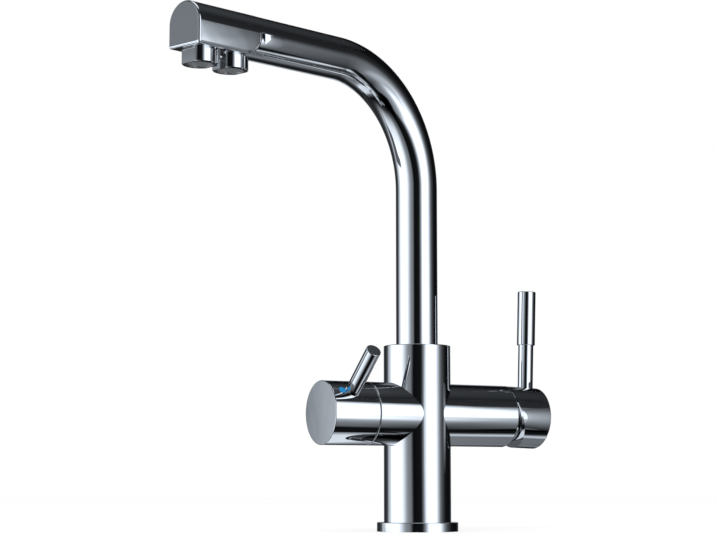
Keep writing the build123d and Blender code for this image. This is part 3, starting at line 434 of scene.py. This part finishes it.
# Pale stand under the tap: level by x, and a front that is dim at its edge.
STAND = (
    (-0.06, 0.004), (-0.03, 0.12), (0.0, 0.75), (0.08, 0.85), (0.12, 0.3), (0.16, 0.2),
    (0.25, 0.17), (0.32, 0.06), (0.42, 0.03),
)
STAND_LEFT = -0.06
STAND_RIGHT = 0.48
STAND_RADIUS = 0.33
STAND_WING = (60, 150)  # directions in which it goes on beyond its radius
STAND_FRONT = -0.078
STAND_SKEW = 0.27  # beyond this x the front runs forwards
STAND_SLOPE = 0.5
STAND_DIM = 0.2
STAND_FADE = 0.06
# A bright line along the front, by x, and a black gap before it.
EDGE_START = 0.11
EDGE_END = 0.5
EDGE_RADIUS = 0.55  # the line ends beyond this distance from the column's axis
EDGE_LEVEL = ((0.24, 0.65), (0.4, 0.85))
EDGE_WIDTH = ((0.24, 0.026), (0.4, 0.034))
EDGE_LINE = ((0.24, -0.058), (0.5, -0.135))
GAP_LEFT = -0.02
GAP_RIGHT = 0.5
GAP_WIDTH = 0.09
GAP_LEVEL = 0.006


def edge_level(x, y, radius):
    """Light of the bright line, which fades to both sides."""
    if not (EDGE_START < x < EDGE_END and radius < EDGE_RADIUS):
        return 0.0
    beside = (y - level_at(EDGE_LINE, x)) / level_at(EDGE_WIDTH, x)
    return level_at(EDGE_LEVEL, x) * math.exp(-(beside ** 2))


def open_table_level(angle, radius):
    """Light of the table away from the stand."""
    if abs(angle) > REAR_ANGLE:
        return level_at(TABLE_REAR, radius)
    wall = level_at(WALL, angle)
    if SOLE_VIEW[0] < angle < SOLE_VIEW[1]:
        start = level_at(SOLE_START, angle)
        wall *= blend(1.0, SOLE_LEVEL, share(radius, start, start + SOLE_FADE))
    if angle < 0:
        return wall * level_at(TABLE_FILTER_SIDE, radius)
    turn = share(angle, *TABLE_TURN)
    level = blend(level_at(TABLE_FRONT, radius), level_at(TABLE_BESIDE, radius), turn)
    start = level_at(TABLE_START, angle)
    return min(wall, level) * share(radius, start + START_FADE[0], start + START_FADE[1])


def table_level(radius, angle):
    """Light of the table: the stand with its bright line and black gap, or the open table."""
    x, y, _ = round_point(angle, radius, 0.0)
    front = STAND_FRONT - STAND_SLOPE * max(0.0, x - STAND_SKEW)
    edge = edge_level(x, y, radius)
    on_stand = STAND_LEFT < x < STAND_RIGHT and y > front
    if on_stand and (radius < STAND_RADIUS or STAND_WING[0] < angle < STAND_WING[1]):
        lit = blend(STAND_DIM, 1.0, share(y, front, front + STAND_FADE))
        return max(level_at(STAND, x) * lit, edge)
    if GAP_LEFT < x < GAP_RIGHT and front - GAP_WIDTH < y <= front:
        return max(GAP_LEVEL, edge)
    return open_table_level(angle, radius)


def table_level_at(x, y):
    angle = math.degrees(CAMERA_SIDE - math.atan2(-x, -y))
    return table_level(math.hypot(x, y), (angle + 180) % 360 - 180)


# A fine square grid round the tap, then coarser rings out to the walls.
NEAR_TABLE = steps(-0.5, 0.5, 0.01)
NEAR_HEIGHT = TABLE_HEIGHT + 0.001  # just above the rest of the table
reflector(
    "studio_stand",
    rows=NEAR_TABLE,
    columns=NEAR_TABLE,
    point=lambda x, y: (x, y, NEAR_HEIGHT),
    level=table_level_at,
)
reflector(
    "studio_table",
    rows=steps(0.45, WALL_RADIUS, 0.05),
    columns=ALL_ROUND,
    point=lambda radius, angle: round_point(angle, radius, TABLE_HEIGHT),
    level=table_level,
)


# ------------------------------------------------------------------- near cards
def near_card(name, direction, across, ahead, up, across_levels, upward_levels):
    """A small flat upright card that faces the tap from a direction.

    It stands ahead in that direction, up above the deck and across it, which grows with the
    direction. Its light is the product of two tables, by the distance across and upwards.
    """
    facing = CAMERA_SIDE - math.radians(direction)

    def point(height, side):
        x = math.cos(facing) * (across + side) - math.sin(facing) * ahead
        y = -math.sin(facing) * (across + side) - math.cos(facing) * ahead
        return (x, y, up + height)

    reflector(
        name,
        rows=[height for height, _ in upward_levels],
        columns=[side for side, _ in across_levels],
        point=point,
        level=lambda height, side: level_at(upward_levels, height) * level_at(across_levels, side),
    )


# Grey card beside the mixer handle.
near_card(
    "studio_handle_card",
    direction=78,
    across=0.0,
    ahead=0.125,
    up=0.0,
    across_levels=((0.029, 1.2), (0.034, 1.0), (0.043, 0.85), (0.052, 0.6), (0.069, 0.25)),
    upward_levels=(
        (0.04, 0.02), (0.047, 0.08), (0.059, 0.19), (0.0705, 0.35), (0.08, 0.46),
        (0.0895, 0.41), (0.1005, 0.21), (0.1115, 0.08),
    ),
)
# Soft card in front of the spout's neck.
near_card(
    "studio_neck_card",
    direction=60,
    across=-0.161,
    ahead=-0.0014,
    up=0.3277,
    across_levels=(
        (0.0052, 1.1), (0.007, 0.85), (0.01, 0.48), (0.013, 0.33), (0.016, 0.26), (0.022, 0.17),
    ),
    upward_levels=(
        (-0.024, 0.5), (-0.016, 0.85), (-0.009, 1.15), (-0.004, 1.1), (0.0, 1.0),
        (0.003, 0.65), (0.0055, 0.3), (0.008, 0.2), (0.012, 0.08),
    ),
)

# -------------------------------------------------------- floor, world and lamp
FLOOR_SIZE = 6.0
FLOOR_COLOUR = (0.95, 0.95, 0.95, 1.0)
FLOOR_ROUGHNESS = 0.8
FLOOR_GLOW = 0.7  # share of plain white in what the camera sees
WORLD_LIGHT = 1.0
KEY_PLACE = (-0.9, -0.9, 1.4)
KEY_TARGET = (0.0, 0.0, 0.15)
KEY_SIZE = 0.9
KEY_WATTS = 10.0


def make_floor():
    """Pale floor: white to the eye, with the tap's soft shadow left on it."""
    half = FLOOR_SIZE / 2
    corners = [(-half, -half, 0), (half, -half, 0), (half, half, 0), (-half, half, 0)]
    mesh = bpy.data.meshes.new("floor")
    mesh.from_pydata(corners, [], [(0, 1, 2, 3)])
    material = bpy.data.materials.new("floor")
    tree, surface = blank_tree(material, "ShaderNodeOutputMaterial")
    shader = tree.nodes.new("ShaderNodeBsdfPrincipled")
    shader.inputs["Base Color"].default_value = FLOOR_COLOUR
    shader.inputs["Roughness"].default_value = FLOOR_ROUGHNESS
    shader.inputs["Specular IOR Level"].default_value = 0.0
    white = tree.nodes.new("ShaderNodeEmission")
    white.inputs["Color"].default_value = WHITE
    ray = tree.nodes.new("ShaderNodeLightPath")
    glow = tree.nodes.new("ShaderNodeMath")
    glow.operation = "MULTIPLY"
    glow.inputs[1].default_value = FLOOR_GLOW
    mix = tree.nodes.new("ShaderNodeMixShader")
    tree.links.new(ray.outputs["Is Camera Ray"], glow.inputs[0])
    tree.links.new(glow.outputs["Value"], mix.inputs["Fac"])
    tree.links.new(shader.outputs["BSDF"], mix.inputs[1])
    tree.links.new(white.outputs["Emission"], mix.inputs[2])
    tree.links.new(mix.outputs["Shader"], surface)
    plane = stage_object("floor", mesh, material)
    plane.visible_glossy = False


def make_world():
    """Even white light from all round."""
    world = bpy.data.worlds.new("studio")
    scene.world = world
    tree, surface = blank_tree(world, "ShaderNodeOutputWorld")
    light = tree.nodes.new("ShaderNodeBackground")
    light.inputs["Color"].default_value = WHITE
    light.inputs["Strength"].default_value = WORLD_LIGHT
    tree.links.new(light.outputs["Background"], surface)


def make_key_lamp():
    """Soft lamp in front on the filter side, not seen in reflections."""
    lamp = bpy.data.lights.new("key_lamp", "AREA")
    lamp.shape = "DISK"
    lamp.size = KEY_SIZE
    lamp.energy = KEY_WATTS
    thing = bpy.data.objects.new("key_lamp", lamp)
    thing.location = KEY_PLACE
    direction = Vector(KEY_TARGET) - Vector(KEY_PLACE)
    thing.rotation_euler = direction.to_track_quat("-Z", "Y").to_euler()
    thing.visible_glossy = False
    scene.collection.objects.link(thing)


make_camera()
make_world()
make_floor()
make_key_lamp()
